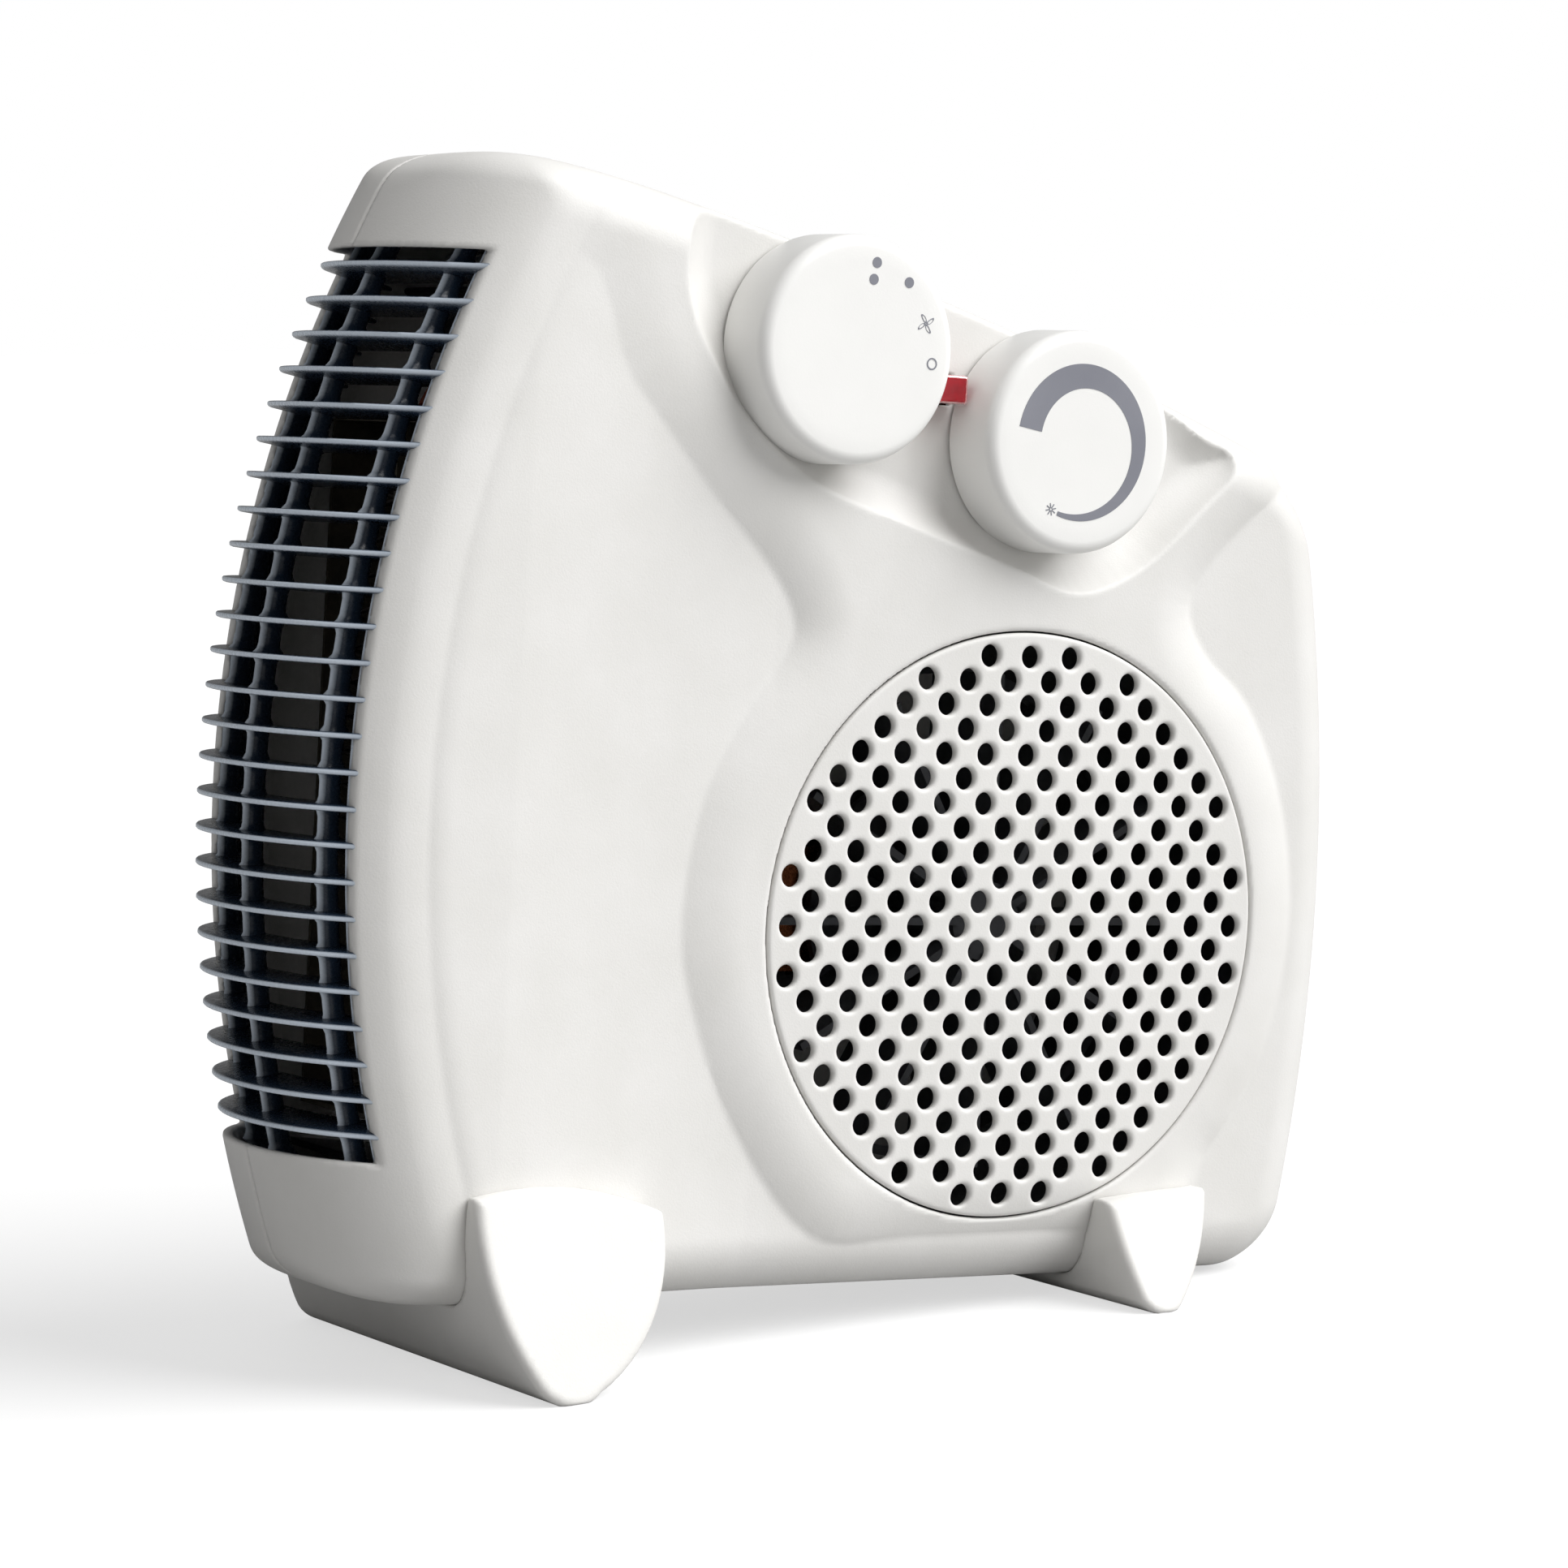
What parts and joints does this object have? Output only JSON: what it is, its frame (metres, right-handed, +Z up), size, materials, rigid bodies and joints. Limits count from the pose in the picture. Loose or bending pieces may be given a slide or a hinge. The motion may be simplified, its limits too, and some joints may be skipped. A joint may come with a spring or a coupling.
{
  "type": "fan convector heater",
  "caption": "Upright portable fan heater: rounded off-white casing with a round perforated intake, finned side outlet, twin control knobs and V-shaped feet.",
  "frame": {"origin": "on the floor under the middle of the whole heater, cord and plug included", "axes": "+X to the right as seen from the knob side, the warm air leaves towards -X; +Y from the knob side to the back; +Z up from the floor"},
  "size_m": [0.2612, 0.1136, 0.2485],
  "materials": {
    "casing_plastic": "fine spark-eroded texture, warm off-white",
    "knob_plastic": "smooth satin off-white",
    "grille_plastic": "glossy blue-black",
    "black_plastic": "moulded black",
    "fan_plastic": "moulded dark grey",
    "ceramic": "unglazed pale ceramic",
    "red_lens": "clear red, faceted",
    "lamp_glass": "clear glass bulb",
    "core_steel": "varnished laminations",
    "copper_wire": "enamelled copper winding",
    "zinc_steel": "zinc plated",
    "bronze": "sintered bronze",
    "rotor_alloy": "cast cage on laminations",
    "bright_steel": "ground steel",
    "mica": "pressed mica board",
    "resistance_alloy": "oxidised resistance ribbon",
    "wire_sleeve": "heat-proof sleeve",
    "cord_rubber": "soft off-white",
    "nickel": "nickel plated brass"
  },
  "bodies": {
    "base": {"front_shell": "casing_plastic", "rear_shell": "casing_plastic", "intake_grille": "casing_plastic", "left_foot": "casing_plastic", "right_foot": "casing_plastic", "outlet_grille": "grille_plastic", "selector_switch": "black_plastic", "thermostat_body": "ceramic", "pilot_lens": "red_lens", "pilot_lamp": "lamp_glass", "motor_core": "core_steel", "motor_coil": "copper_wire", "motor_brackets": "zinc_steel", "motor_bearings": "bronze", "air_duct": "black_plastic", "heater_frame": "mica", "heating_ribbons": "resistance_alloy", "thermal_cutout": "zinc_steel", "thermal_fuse": "bright_steel", "terminal_block": "ceramic", "internal_wiring": "wire_sleeve", "cord_grip": "cord_rubber", "power_cord": "cord_rubber", "cord_tie": "black_plastic", "plug_body": "cord_rubber", "plug_pins": "nickel", "housing_screws": "zinc_steel", "motor_screws": "zinc_steel", "foot_screws": "zinc_steel"},
    "selector": {"selector_knob": "knob_plastic", "selector_spindle": "black_plastic"},
    "thermostat": {"thermostat_knob": "knob_plastic", "thermostat_spindle": "black_plastic"},
    "fan": {"fan_shaft": "bright_steel", "rotor": "rotor_alloy", "impeller": "fan_plastic"}
  },
  "joints": [
    {"name": "selector_turn", "type": "hinge", "parent": "base", "child": "selector", "pos_m": [-0.00459, -0.04746, 0.20634], "axis": [0, 1, 0], "range_deg": [0, 87]},
    {"name": "thermostat_turn", "type": "hinge", "parent": "base", "child": "thermostat", "pos_m": [0.05077, -0.04746, 0.18572], "axis": [0, 1, 0], "range_deg": [-280, 0]},
    {"name": "fan_spin", "type": "hinge", "parent": "base", "child": "fan", "pos_m": [0.03884, -0.02766, 0.08346], "axis": [0, 1, 0], "continuous": true}
  ]
}
